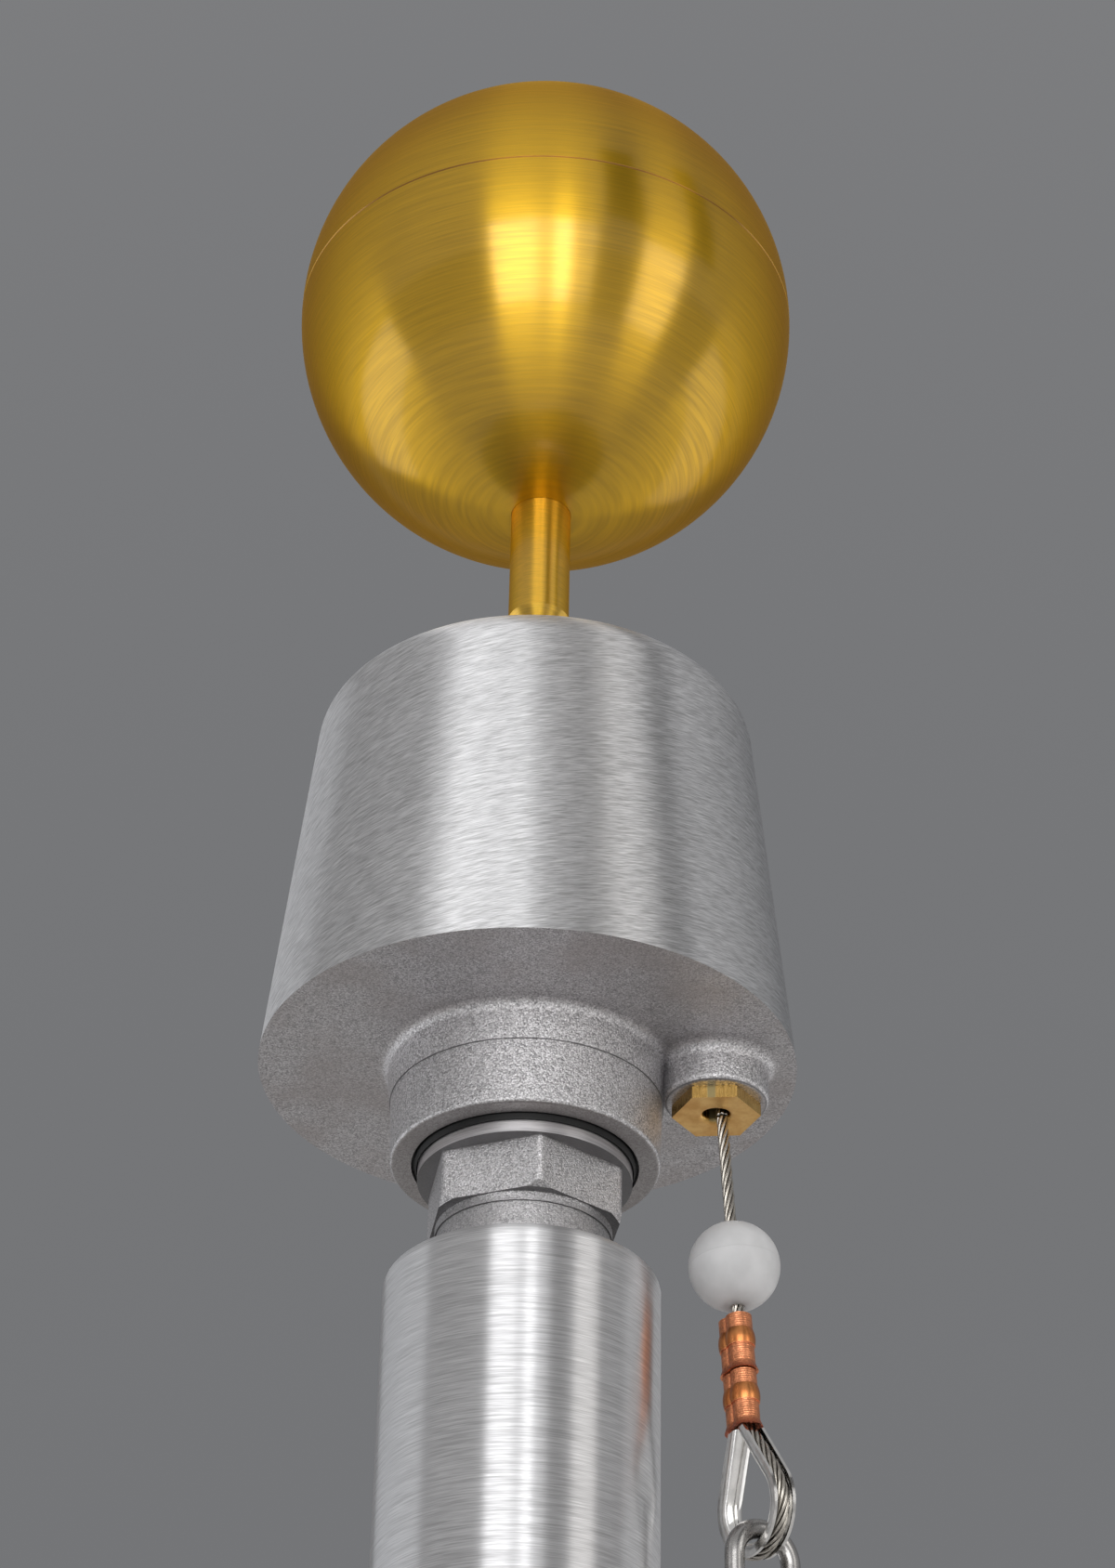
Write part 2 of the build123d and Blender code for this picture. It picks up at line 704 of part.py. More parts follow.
# Sleeves: each is pressed over the live wire and the tail, with a lobe round each wire,
# a bulge between two crimped bands and a flared lower mouth
lobe = sleeve_lobe_diameter / 2
bulge = sleeve_bulge_diameter / 2
flare = sleeve_flare_diameter / 2
bulge_top = sleeve_length - sleeve_upper_band
bulge_bottom = bulge_top - sleeve_bulge_length
for sleeve_name, sleeve_bottom in (("lower_sleeve", 0), ("upper_sleeve", sleeve_length + sleeve_gap)):
    with BuildPart() as sleeve:
        for side in (-1, 1):
            lobe_origin = sleeves_origin + across * (side * wire_spacing / 2) + up * sleeve_bottom
            lobe_plane = Plane(lobe_origin, x_dir=across * side, z_dir=(across * side).cross(up))
            with BuildSketch(lobe_plane):
                with BuildLine():
                    Polyline(
                        (lobe, bulge_top),
                        (lobe, sleeve_length),
                        (0, sleeve_length),
                        (0, 0),
                        (flare, 0),
                        (lobe, sleeve_flare_length),
                        (lobe, bulge_bottom),
                        (lobe + sleeve_crimp_step, bulge_bottom),
                    )
                    ThreePointArc(
                        (lobe + sleeve_crimp_step, bulge_bottom),
                        (bulge, (bulge_bottom + bulge_top) / 2),
                        (lobe, bulge_top),
                    )
                make_face()
            revolve(axis=Axis(lobe_origin, up))
        for side in (-1, 1):
            bore_origin = sleeves_origin + across * (side * wire_spacing / 2) + up * sleeve_bottom
            bore_plane = Plane(bore_origin, x_dir=across, z_dir=across.cross(up))
            with BuildSketch(bore_plane):
                with BuildLine():
                    Polyline(
                        (0, 0),
                        (flare - sleeve_rim, 0),
                        (sleeve_bore / 2, sleeve_flare_length),
                        (sleeve_bore / 2, sleeve_length),
                        (0, sleeve_length),
                        close=True,
                    )
                make_face()
            revolve(axis=Axis(bore_origin, up), mode=Mode.SUBTRACT)
    keep(sleeve, sleeve_name)

# Route of the wire out of the sleeve, round the thimble and back up to the tail's end. Its
# bends at the sleeve's mouth are tight, and the others as large as their runs allow.
tail_start = fall_end - across * wire_spacing
tail_end = tail_start + up * (2 * sleeve_length + sleeve_gap - wire_radius)
route = [live_wire_end, fall_end + up * live_knee_rise]
route += [eye_origin + eye_across * side + eye_up * height for side, height in eye_corners]
route += [tail_start - up * tail_knee_drop, tail_end]
radii = [wire_knee_radius]
for before, corner, after in zip(route[1:-3], route[2:-2], route[3:-1]):
    half_turn = radians((corner - before).get_angle(after - corner) / 2)
    shorter_run = min((corner - before).length, (after - corner).length)
    radii.append(largest_bend * shorter_run / tan(half_turn))
radii.append(wire_knee_radius)
print("radii of the halyard's bends:", [round(radius, 1) for radius in radii])
with BuildLine() as eye_route:
    FilletPolyline(*route, radius=radii)
keep(tube(eye_route.wire(), wire_radius), "halyard_eye")

# Thimble: a channel open outward, bent round under the wire, with two straight legs that
# meet on the middle plane
round_radius = thimble_width / 2 - thimble_flange
round_drop = thimble_length - thimble_width / 2
leg_start = thimble_leg_spacing / 2
leg_angle = asin(round_radius / hypot(leg_start, round_drop)) - atan2(leg_start, round_drop)
round_centre = eye_origin - eye_up * round_drop
leg_outward = eye_across * cos(leg_angle) + eye_up * sin(leg_angle)
leg_section_plane = Plane(
    round_centre + leg_outward * round_radius,
    x_dir=leg_outward,
    z_dir=leg_outward.cross(thimble_normal),
)
channel_radius = thimble_groove / 2 + thimble_gauge


def channel_section():
    """Section of the thimble's channel, open towards the plane's +X side."""
    Circle(channel_radius)
    Rectangle(thimble_flange, 2 * channel_radius, align=(Align.MIN, Align.CENTER))
    with Locations((channel_radius, 0)):
        Rectangle(2 * (channel_radius - thimble_flange), 2 * channel_radius, mode=Mode.SUBTRACT)
    Circle(thimble_groove / 2, mode=Mode.SUBTRACT)
    Rectangle(2 * channel_radius, thimble_groove, align=(Align.MIN, Align.CENTER), mode=Mode.SUBTRACT)


with BuildPart() as thimble_leg:
    with BuildSketch(leg_section_plane):
        channel_section()
    extrude(amount=-thimble_length)
    split(bisect_by=Plane(eye_origin, z_dir=eye_across), keep=Keep.TOP)

with BuildPart() as thimble:
    with BuildSketch(leg_section_plane):
        channel_section()
    revolve(axis=Axis(round_centre, thimble_normal * -1), revolution_arc=180 + 2 * degrees(leg_angle))
    add(thimble_leg.part)
    add(thimble_leg.part.mirror(Plane(eye_origin, z_dir=eye_across)))
    split(bisect_by=Plane(eye_origin - up * sleeve_gap, z_dir=up), keep=Keep.BOTTOM)
keep(thimble, "thimble")

# Link through the thimble's eye, square to it, hanging straight down
link_bar_radius = link_bar_diameter / 2
link_bend_radius = (link_width - link_bar_diameter) / 2
link_up = Vector(0, 0, 1)
link_across = (thimble_normal - link_up * thimble_normal.dot(link_up)).normalized()
round_bottom = round_centre - eye_up * round_radius
link_top = round_bottom + link_up * (channel_radius + running_gap + link_bar_radius)
link_plane = Plane(link_top - link_up * link_bend_radius, x_dir=link_across, z_dir=link_across.cross(link_up))
straight_length = link_length - link_width
with BuildLine(link_plane) as link_route:
    Line((link_bend_radius, -straight_length / 2), (link_bend_radius, 0))
    ThreePointArc((link_bend_radius, 0), (0, link_bend_radius), (-link_bend_radius, 0))
    Line((-link_bend_radius, 0), (-link_bend_radius, -straight_length))
    ThreePointArc(
        (-link_bend_radius, -straight_length),
        (0, -straight_length - link_bend_radius),
        (link_bend_radius, -straight_length),
    )
    Line((link_bend_radius, -straight_length), (link_bend_radius, -straight_length / 2))
keep(tube(link_route.wire(), link_bar_radius), "flag_link")
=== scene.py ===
from math import atan2, ceil, cos, degrees, pi, radians, sin, tan

import bmesh
import bpy
from mathutils import Matrix, Vector


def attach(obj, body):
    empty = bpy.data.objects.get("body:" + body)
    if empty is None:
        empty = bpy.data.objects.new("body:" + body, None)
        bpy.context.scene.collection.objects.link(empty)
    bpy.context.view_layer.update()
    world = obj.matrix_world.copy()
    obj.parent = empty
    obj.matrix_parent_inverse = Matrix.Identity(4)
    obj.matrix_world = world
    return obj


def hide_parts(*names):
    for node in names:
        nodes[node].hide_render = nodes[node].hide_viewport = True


# Head of a flagpole: gold ball finial, brushed revolving truck, pole top and the end of
# the wire halyard. Lengths are in metres and angles in degrees. The guide is on the +X side.

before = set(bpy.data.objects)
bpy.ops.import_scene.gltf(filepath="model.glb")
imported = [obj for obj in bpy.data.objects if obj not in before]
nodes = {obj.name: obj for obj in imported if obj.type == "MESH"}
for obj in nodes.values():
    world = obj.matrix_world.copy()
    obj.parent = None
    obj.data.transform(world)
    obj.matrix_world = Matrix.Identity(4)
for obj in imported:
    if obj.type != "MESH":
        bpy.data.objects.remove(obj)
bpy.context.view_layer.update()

# Camera: its place, turn, tilt and roll as fitted to the photograph
camera_place = Vector((0.0845, -0.8936, 0.0531))
camera_yaw = radians(-4.98)
camera_pitch = radians(34.97)
camera_roll = radians(1.16)
camera_turn = degrees(atan2(camera_place.x, -camera_place.y))
focal_length = 87.63
sensor_width = 36.0
nearest_seen = 0.01

# Upright lamps that stand round the object
lamp_distance = 1.5
lamp_foot = 0.02
lamp_top = 1.08
fill_top = 0.65
lamp_spread = radians(160.0)
lamp_share = 0.8  # of the power that a lamp with a full spread needs
white_light = (1.0, 1.0, 1.0)
warm_light = (1.0, 0.97, 0.93)
cool_light = (0.95, 0.97, 1.0)

# Dark panels beside the lamps, the floor and the sky
panel_distance = 1.6
panel_foot = 1.25
panel_top = 2.8
panel_colour = (0.22, 0.22, 0.22)
floor_half = 40.0
floor_colour = (0.86, 0.85, 0.84)
sky_behind = (0.175, 0.178, 0.185, 1.0)
sky_before = (0.52, 0.515, 0.515, 1.0)
sky_below = (0.57, 0.565, 0.56, 1.0)

# Heights of the neck's bead, the hexagon, the hub, its parting line and the ball
neck_bead = 0.5326
hex_top = 0.55
hub_bottom = 0.5548
parting_line = 0.5734
ball_middle = 0.8549

# Truck: where its upright rim starts, and the slant of its grooves, rising to the right
truck_rim_radius = 0.0712
truck_lay = 19.0

# Halyard's end, as in the part's source
guide_offset = 0.05135
fall_start = Vector((0.05288, 0, 0.5695))
fall_lean = radians(3.62)
fall_length = 0.092
stop_ball_drop = 0.0455
wire_diameter = 0.003175
wire_spacing = 0.0033
sleeve_length = 0.0157
sleeve_gap = 0.0003
sleeve_upper_band = 0.0039
sleeve_bulge_length = 0.0049
eye_turn = radians(-55.3)
eye_lean = radians(6.6)
eye_swing = radians(4.95)
eye_offset = 0.0008
fall_direction = Vector((sin(fall_lean), 0, -cos(fall_lean)))
up = -fall_direction
turn_direction = Vector((cos(eye_turn), sin(eye_turn), 0))
across = (turn_direction - up * turn_direction.dot(up)).normalized()
fall_end = fall_start + fall_direction * fall_length
sleeves_origin = fall_end - across * (wire_spacing / 2)
eye_up = Vector((-tan(eye_lean), -tan(eye_swing), 1)).normalized()
eye_across = (turn_direction - eye_up * turn_direction.dot(eye_up)).normalized()
eye_origin = sleeves_origin + across * eye_offset


def in_eye(side, height):
    """Point in the eye's plane: across the two wires and up from the sleeve's mouth."""
    return eye_origin + eye_across * side + eye_up * height


# The free wire hangs from the guide's mouth into the sleeves, goes round the thimble and
# comes back up to the tail's end
tail_start = fall_end - across * wire_spacing
halyard_route = [
    fall_start,
    fall_end + up * (sleeve_length / 2),
    fall_end + up * 0.0008,
    in_eye(0.0050, -0.0050),
    in_eye(0.0131, -0.0194),
    in_eye(0.0097, -0.0294),
    in_eye(0.0, -0.0337),
    in_eye(-0.0097, -0.0294),
    in_eye(-0.0131, -0.0194),
    in_eye(-0.0052, -0.0050),
    tail_start - up * 0.0004,
    tail_start + up * 0.0050,
    tail_start + up * (2 * sleeve_length + sleeve_gap - wire_diameter / 2),
]

# The same wire from the guide's mouth up over the sheave and down to the pole's axis
sheave_route = [
    fall_start,
    Vector((0.0493, 0, 0.6262)),
    Vector((0.0481, 0, 0.6457)),
    Vector((0.0345, 0, 0.6589)),
    Vector((0.0143, 0, 0.6589)),
    Vector((0, 0, 0.6446)),
    Vector((0, 0, 0.6244)),
    Vector((0, 0, 0.5970)),
]

# Wire rope: six strands round a core, and the lay of the strands and of their wires
strand_count = 6
lay_length = 0.0225
wire_lay_length = 0.009
strand_radius = wire_diameter / 6
strand_sides = 10
strand_step = 0.0006
rope_side = Vector((0, 1, 0))


def spline_points(name, route):
    """Points of a smooth spline that follows a route."""
    curve = bpy.data.curves.new(name, "CURVE")
    curve.dimensions = "3D"
    curve.resolution_u = 32
    spline = curve.splines.new("NURBS")
    spline.points.add(len(route) - 1)
    for point, place in zip(spline.points, route):
        point.co = (*place, 1)
    spline.order_u = 3
    spline.use_endpoint_u = True
    holder = bpy.data.objects.new(name, curve)
    line = bpy.data.meshes.new_from_object(holder)
    points = [vertex.co.copy() for vertex in line.vertices]
    bpy.data.objects.remove(holder)
    bpy.data.meshes.remove(line)
    return points


def even_steps(points, step):
    """Points at even distances along a line, and its length."""
    reached = [0.0]
    for first, second in zip(points, points[1:]):
        reached.append(reached[-1] + (second - first).length)
    count = ceil(reached[-1] / step)
    places = []
    index = 0
    for number in range(count + 1):
        distance = reached[-1] * number / count
        while index < len(points) - 2 and reached[index + 1] < distance:
            index += 1
        share = (distance - reached[index]) / (reached[index + 1] - reached[index])
        places.append(points[index].lerp(points[index + 1], share))
    return places, reached[-1]


def carried_frames(points, side):
    """Direction and two side vectors at each point, carried along without twist."""
    frames = []
    last = len(points) - 1
    for index in range(len(points)):
        before = points[max(index - 1, 0)]
        after = points[min(index + 1, last)]
        direction = (after - before).normalized()
        side = (side - direction * side.dot(direction)).normalized()
        frames.append((direction, side, direction.cross(side)))
    return frames


def rope(name, points, length):
    """Wire rope of six strands laid right-handed round a core along even points."""
    step = length / (len(points) - 1)
    frames = carried_frames(points, rope_side)
    lines = [points]
    for strand in range(strand_count):
        line = []
        for index, (point, (_, side, other)) in enumerate(zip(points, frames)):
            angle = 2 * pi * (strand / strand_count + index * step / lay_length)
            line.append(point + (side * cos(angle) + other * sin(angle)) * 2 * strand_radius)
        lines.append(line)
    work = bmesh.new()
    lay = work.loops.layers.uv.new("lay")
    for number, line in enumerate(lines):
        rings = []
        for index, (direction, side, other) in enumerate(carried_frames(line, rope_side)):
            if number:
                side = (line[index] - points[index]).normalized()
                side = (side - direction * side.dot(direction)).normalized()
                other = direction.cross(side)
            ring = []
            for corner in range(strand_sides):
                angle = 2 * pi * corner / strand_sides
                outward = side * cos(angle) + other * sin(angle)
                ring.append(work.verts.new(line[index] + outward * strand_radius))
            rings.append(ring)
        for index in range(len(rings) - 1):
            for corner in range(strand_sides):
                after = (corner + 1) % strand_sides
                corners = (
                    (rings[index][corner], corner, index),
                    (rings[index][after], corner + 1, index),
                    (rings[index + 1][after], corner + 1, index + 1),
                    (rings[index + 1][corner], corner, index + 1),
                )
                face = work.faces.new([vertex for vertex, _, _ in corners])
                face.smooth = True
                for loop, (_, turn, along_wire) in zip(face.loops, corners):
                    loop[lay].uv = (turn / strand_sides, along_wire * step / wire_lay_length)
        work.faces.new(list(reversed(rings[0])))
        work.faces.new(rings[-1])
    bmesh.ops.recalc_face_normals(work, faces=work.faces)
    mesh = bpy.data.meshes.new(name)
    work.to_mesh(mesh)
    work.free()
    piece = bpy.data.objects.new(name, mesh)
    bpy.context.scene.collection.objects.link(piece)
    return piece


def node(tree, kind, inputs=(), **settings):
    """New shader node with its settings and its input values or links."""
    made = tree.nodes.new(kind)
    for name, value in settings.items():
        setattr(made, name, value)
    for name, value in dict(inputs).items():
        if isinstance(value, bpy.types.NodeSocket):
            tree.links.new(value, made.inputs[name])
        else:
            made.inputs[name].default_value = value
    return made


def calc(tree, operation, first, second=0.0, third=0.0):
    """Result of a Math node on sockets or numbers."""
    inputs = {0: first, 1: second, 2: third}
    return node(tree, "ShaderNodeMath", inputs, operation=operation).outputs[0]


def weighted(tree, first, first_share, second, second_share):
    """Sum of two values, each times its share."""
    first_part = calc(tree, "MULTIPLY", first, first_share)
    return calc(tree, "ADD", first_part, calc(tree, "MULTIPLY", second, second_share))


def vector_calc(tree, operation, first, second, output=0):
    """Result of a Vector Math node on sockets or vectors."""
    inputs = {0: first, 1: second}
    return node(tree, "ShaderNodeVectorMath", inputs, operation=operation).outputs[output]


def remap(tree, value, low, high, new_low=0.0, new_high=1.0, smooth=False):
    """Value carried from one range to another and held inside it."""
    limits = {
        "Value": value,
        "From Min": low,
        "From Max": high,
        "To Min": new_low,
        "To Max": new_high,
    }
    kind = "SMOOTHSTEP" if smooth else "LINEAR"
    return node(tree, "ShaderNodeMapRange", limits, interpolation_type=kind).outputs["Result"]


def mix_colour(tree, share, first, second):
    """Colour between two colours, each a socket or a value."""
    inputs = {0: share, 6: first, 7: second}
    return node(tree, "ShaderNodeMix", inputs, data_type="RGBA").outputs[2]


def mix_value(tree, share, first, second):
    """Number between two numbers, each a socket or a value."""
    inputs = {0: share, 2: first, 3: second}
    return node(tree, "ShaderNodeMix", inputs, data_type="FLOAT").outputs[0]


def shaded(tree, value, low, high, dark, light):
    """Colour that goes from dark to light as a value goes from low to high."""
    return mix_colour(tree, remap(tree, value, low, high), dark, light)


def laid_over(tree, share, strength, under, top):
    """Colour with another laid over it by a share, up to a strength."""
    return mix_colour(tree, calc(tree, "MULTIPLY", share, strength), under, top)


def tone(colour, factor):
    """Colour made lighter or darker, with alpha."""
    return tuple(min(1.0, c * factor) for c in colour[:3]) + (1.0,)


def position(tree):
    """Position in the row's frame."""
    return node(tree, "ShaderNodeTexCoord").outputs["Object"]


def along(tree, origin, direction):
    """Distance from a point, measured along a direction."""
    shifted = vector_calc(tree, "SUBTRACT", position(tree), tuple(origin))
    return vector_calc(tree, "DOT_PRODUCT", shifted, tuple(direction), "Value")


def height(tree):
    """Height in the row's frame."""
    return along(tree, (0, 0, 0), (0, 0, 1))


def band(tree, value, low, high, edge):
    """One between two values and nothing outside them, with soft edges."""
    rising = remap(tree, value, low - edge, low + edge, smooth=True)
    falling = remap(tree, value, high - edge, high + edge, 1.0, 0.0, smooth=True)
    return calc(tree, "MULTIPLY", rising, falling)


def noise(tree, vector, scale=1.0, detail=2.0, roughness=0.5):
    """Noise value at a position."""
    inputs = {"Vector": vector, "Scale": scale, "Detail": detail, "Roughness": roughness}
    return node(tree, "ShaderNodeTexNoise", inputs).outputs["Fac"]


def bump(tree, level, distance):
    """Normal bent by a height given in shares of a distance."""
    inputs = {"Height": level, "Distance": distance, "Strength": 1.0}
    return node(tree, "ShaderNodeBump", inputs).outputs["Normal"]


def polar(tree, centre=(0, 0, 0)):
    """Angle round an upright axis and distance from it."""
    side = along(tree, centre, (1, 0, 0))
    other = along(tree, centre, (0, 1, 0))
    side_square = calc(tree, "MULTIPLY", side, side)
    square = calc(tree, "ADD", side_square, calc(tree, "MULTIPLY", other, other))
    return calc(tree, "ARCTAN2", other, side), calc(tree, "SQRT", square)


def normal_rise(tree):
    """Upward share of a face's normal."""
    normal = node(tree, "ShaderNodeNewGeometry").outputs["Normal"]
    return node(tree, "ShaderNodeSeparateXYZ", {0: normal}).outputs["Z"]


def facing_down(tree):
    """One on faces that look straight down, and nothing on upright ones."""
    return remap(tree, normal_rise(tree), -0.6, -0.95, smooth=True)


def turn_streaks(tree, length, width, slope=0.0, start=0.0):
    """Noise drawn out round the pole's axis, as a brush or lathe tool leaves it. The slope
    raises the streaks to the right, in metres to the radian, from the start's far side."""
    parts = node(tree, "ShaderNodeSeparateXYZ", {0: position(tree)}).outputs
    turn = radians(start)
    front = along(tree, (0, 0, 0), (sin(turn), -cos(turn), 0))
    side = along(tree, (0, 0, 0), (cos(turn), sin(turn), 0))
    rise = calc(tree, "MULTIPLY", calc(tree, "ARCTAN2", side, front), slope)
    stretched = {
        "X": calc(tree, "DIVIDE", parts["X"], length),
        "Y": calc(tree, "DIVIDE", parts["Y"], length),
        "Z": calc(tree, "DIVIDE", calc(tree, "SUBTRACT", parts["Z"], rise), width),
    }
    return noise(tree, node(tree, "ShaderNodeCombineXYZ", stretched).outputs[0])


def hatch(tree, sets):
    """Brush marks in sets, each with its share, length, width, slope and start."""
    marks = 0.0
    for share, length, width, slope, start in sets:
        more = turn_streaks(tree, length, width, slope, start)
        marks = calc(tree, "MULTIPLY_ADD", more, share, marks)
    return marks


def new_material(name, colour, roughness, metallic=0.0):
    """Material with its shader, whose even values are set on its own sockets."""
    material = bpy.data.materials.new(name)
    material.use_nodes = True
    tree = material.node_tree
    shader = tree.nodes["Principled BSDF"]
    shader.inputs["Base Color"].default_value = tone(colour, 1)
    shader.inputs["Roughness"].default_value = roughness
    shader.inputs["Metallic"].default_value = metallic
    return material, tree, shader


def link(tree, shader, colour, roughness, normal):
    """Connect a shader's colour, roughness and normal, where each is given."""
    for name, value in (("Base Color", colour), ("Roughness", roughness), ("Normal", normal)):
        if value is not None:
            tree.links.new(value, shader.inputs[name])


def link_marks(tree, shader, marks, low, high, tones, roughness, depth):
    """Colour, roughness and relief that all follow one set of marks, between two limits."""
    link(
        tree,
        shader,
        shaded(tree, marks, low, high, *tones),
        remap(tree, marks, low, high, *roughness),
        bump(tree, marks, depth),
    )


def tangent_round_axis(tree, shader, anisotropy, lay=0.0):
    """Grooves round the pole's axis, so that highlights stretch along the pole. The lay is
    the grooves' slant."""
    shader.inputs["Anisotropic"].default_value = anisotropy
    shader.inputs["Anisotropic Rotation"].default_value = 0.25 + lay / 360
    tangent = node(tree, "ShaderNodeTangent", direction_type="RADIAL", axis="Z").outputs[0]
    tree.links.new(tangent, shader.inputs["Tangent"])


def brushed_pole():
    """Aluminium tube brushed round its axis with fine streaks."""
    colour = (0.68, 0.68, 0.69)
    material, tree, shader = new_material("pole_brushed", colour, 0.38, 1.0)
    streaks = hatch(
        tree,
        (
            (0.62, 0.010, 0.00030, 0.0, 0),
            (0.18, 0.030, 0.0009, 0.0, 0),
            (0.12, 0.006, 0.00035, 0.0038, 25),
            (0.08, 0.006, 0.00035, -0.0038, -25),
        ),
    )
    tones = (tone(colour, 0.82), tone(colour, 1.16))
    link_marks(tree, shader, streaks, 0.38, 0.62, tones, (0.42, 0.34), 0.00003)
    tangent_round_axis(tree, shader, 1.0)
    return material


def brushed_truck():
    """Aluminium housing brushed coarsely by hand round its taper, with marks that rise to
    the right and cross at small angles."""
    colour = (0.66, 0.66, 0.67)
    material, tree, shader = new_material("truck_brushed", colour, 0.40, 1.0)
    marks = hatch(
        tree,
        (
            (0.34, 0.0055, 0.00036, 0.0130, 0),
            (0.28, 0.0040, 0.00030, 0.0055, 20),
            (0.24, 0.0040, 0.00034, 0.0205, -20),
            (0.14, 0.0120, 0.00100, 0.0110, 35),
        ),
    )
    tones = (tone(colour, 0.72), tone(colour, 1.30))
    link_marks(tree, shader, marks, 0.40, 0.60, tones, (0.44, 0.36), 0.00008)
    tangent_round_axis(tree, shader, 1.0, truck_lay)
    return material


def anodised(name, colour, length, width, depth, roughness, anisotropy):
    """Gold anodised aluminium with fine turning marks round the axis."""
    seam_colour = (0.30, 0.10, 0.01, 1.0)
    material, tree, shader = new_material(name, colour, roughness, 1.0)
    clouds = noise(tree, position(tree), scale=30.0, detail=3.0)
    streaks = hatch(tree, ((0.75, length, width, 0.0, 0), (0.25, length * 3, width * 4, 0.0, 0)))
    shade = weighted(tree, streaks, 0.8, clouds, 0.2)
    whole = shaded(tree, shade, 0.38, 0.62, tone(colour, 0.88), tone(colour, 1.10))
    seam = band(tree, height(tree), ball_middle - 0.0003, ball_middle + 0.0003, 0.0001)
    link(
        tree,
        shader,
        laid_over(tree, seam, 0.8, whole, seam_colour),
        remap(tree, streaks, 0.38, 0.62, roughness + 0.03, roughness - 0.03),
        bump(tree, streaks, depth),
    )
    shader.inputs["Coat Weight"].default_value = 0.17
    shader.inputs["Coat IOR"].default_value = 3.0
    shader.inputs["Coat Roughness"].default_value = 0.15
    shader.inputs["Specular Tint"].default_value = tone(colour, 1.1)
    tangent_round_axis(tree, shader, anisotropy)
    return material


def sand(tree, grain):
    """Relief of a sand mould, in packed grains with pits between them, and the same as a share
    from the pits to the tops, mixed with a random tone per grain. Colour that follows this share
    paints shade into the pits."""
    spot = position(tree)
    lumps = noise(tree, spot, scale=1 / grain, detail=3.0, roughness=0.6)
    grains = node(tree, "ShaderNodeTexVoronoi", {"Vector": spot, "Scale": 1 / grain}).outputs
    relief = calc(tree, "MULTIPLY_ADD", grains["Distance"], -0.45, lumps)
    chance = node(tree, "ShaderNodeSeparateColor", {0: grains["Color"]}).outputs[0]
    raised = calc(tree, "MULTIPLY", remap(tree, relief, 0.12, 0.44), 0.45)
    return relief, calc(tree, "MULTIPLY_ADD", chance, 0.55, raised)


def cast_base():
    """Sand cast underside, hub and boss, with a fine line where the mould parts. The flat
    underside is greyer and patchy, and the hub's lower end, which looks down, is darkened with
    painted shade."""
    colour = (0.58, 0.57, 0.58)
    flat_pits = (0.26, 0.25, 0.255, 1.0)
    flat_tops = (0.80, 0.78, 0.79, 1.0)
    patch_colour = (0.42, 0.38, 0.37, 1.0)
    end_colour = (0.27, 0.25, 0.24, 1.0)
    material, tree, shader = new_material("cast_aluminium", colour, 0.42, 1.0)
    relief, tops = sand(tree, 0.00045)
    patches = remap(tree, noise(tree, position(tree), scale=45.0, detail=4.0), 0.45, 0.65)
    down = facing_down(tree)
    level = height(tree)
    seam = band(tree, level, parting_line - 0.0001, parting_line + 0.0001, 0.00012)
    # Painted shade on the hub's lower end, which looks down.
    end = remap(tree, level, hub_bottom + 0.0002, hub_bottom + 0.0008, 1.0, 0.0)
    end = calc(tree, "MULTIPLY", end, down)
    flat = mix_colour(tree, tops, flat_pits, flat_tops)
    flat = laid_over(tree, patches, 0.5, flat, patch_colour)
    # Colour by the grains' share: a random tone per grain, with painted shade in the pits.
    whole = mix_colour(tree, tops, tone(colour, 0.38), tone(colour, 1.55))
    whole = mix_colour(tree, down, whole, flat)
    whole = laid_over(tree, end, 0.6, whole, end_colour)
    whole = mix_colour(tree, seam, whole, tone(colour, 0.35))
    relief = calc(tree, "MULTIPLY", relief, mix_value(tree, down, 1.0, 0.5))
    link(tree, shader, whole, remap(tree, tops, 0, 1, 0.50, 0.34), bump(tree, relief, 0.00020))
    return material


def cast_spindle():
    """Cast neck and hexagon and a bright turned barrel over them, with painted shade on the faces
    that look down, on the neck below its bead and in a line along the bead.
    """
    colour = (0.58, 0.57, 0.58)
    material, tree, shader = new_material("cast_spindle", colour, 0.40, 1.0)
    relief, tops = sand(tree, 0.00042)
    level = height(tree)
    turned = remap(tree, level, hex_top - 0.0002, hex_top + 0.0001)
    rings = turn_streaks(tree, 0.012, 0.0004)
    # Colour by the grains' share: a random tone per grain, with painted shade in the pits.
    cast_colour = mix_colour(tree, tops, tone(colour, 0.44), tone(colour, 1.70))
    # Painted shade darkens the neck below its bead, and a painted shadow line runs along the
    # bead.
    painted_dark_share = remap(tree, level, neck_bead + 0.0010, neck_bead + 0.0020, 0.45, 0.0)
    cast_colour = mix_colour(tree, painted_dark_share, cast_colour, tone(colour, 0.5))
    line = band(tree, level, neck_bead - 0.0002, neck_bead + 0.0002, 0.0002)
    cast_colour = laid_over(tree, line, 0.35, cast_colour, tone(colour, 0.4))
    turned_colour = shaded(tree, rings, 0.4, 0.6, tone(colour, 1.08), tone(colour, 1.38))
    whole = mix_colour(tree, turned, cast_colour, turned_colour)
    # Painted shade on the faces that look down.
    whole = laid_over(tree, facing_down(tree), 0.9, whole, tone(colour, 0.20))
    relief = mix_value(tree, turned, relief, calc(tree, "MULTIPLY", rings, 0.10))
    rough = mix_value(tree, turned, remap(tree, tops, 0, 1, 0.48, 0.32), 0.30)
    link(tree, shader, whole, rough, bump(tree, relief, 0.00016))
    return material


def turned_metal(name, colour, roughness):
    """Metal turned or ground round the pole's axis."""
    material, tree, shader = new_material(name, colour, roughness, 1.0)
    rings = turn_streaks(tree, 0.01, 0.0002)
    tones = (tone(colour, 0.85), tone(colour, 1.10))
    range_of_roughness = (roughness + 0.07, roughness - 0.04)
    link_marks(tree, shader, rings, 0.38, 0.62, tones, range_of_roughness, 0.00001)
    return material


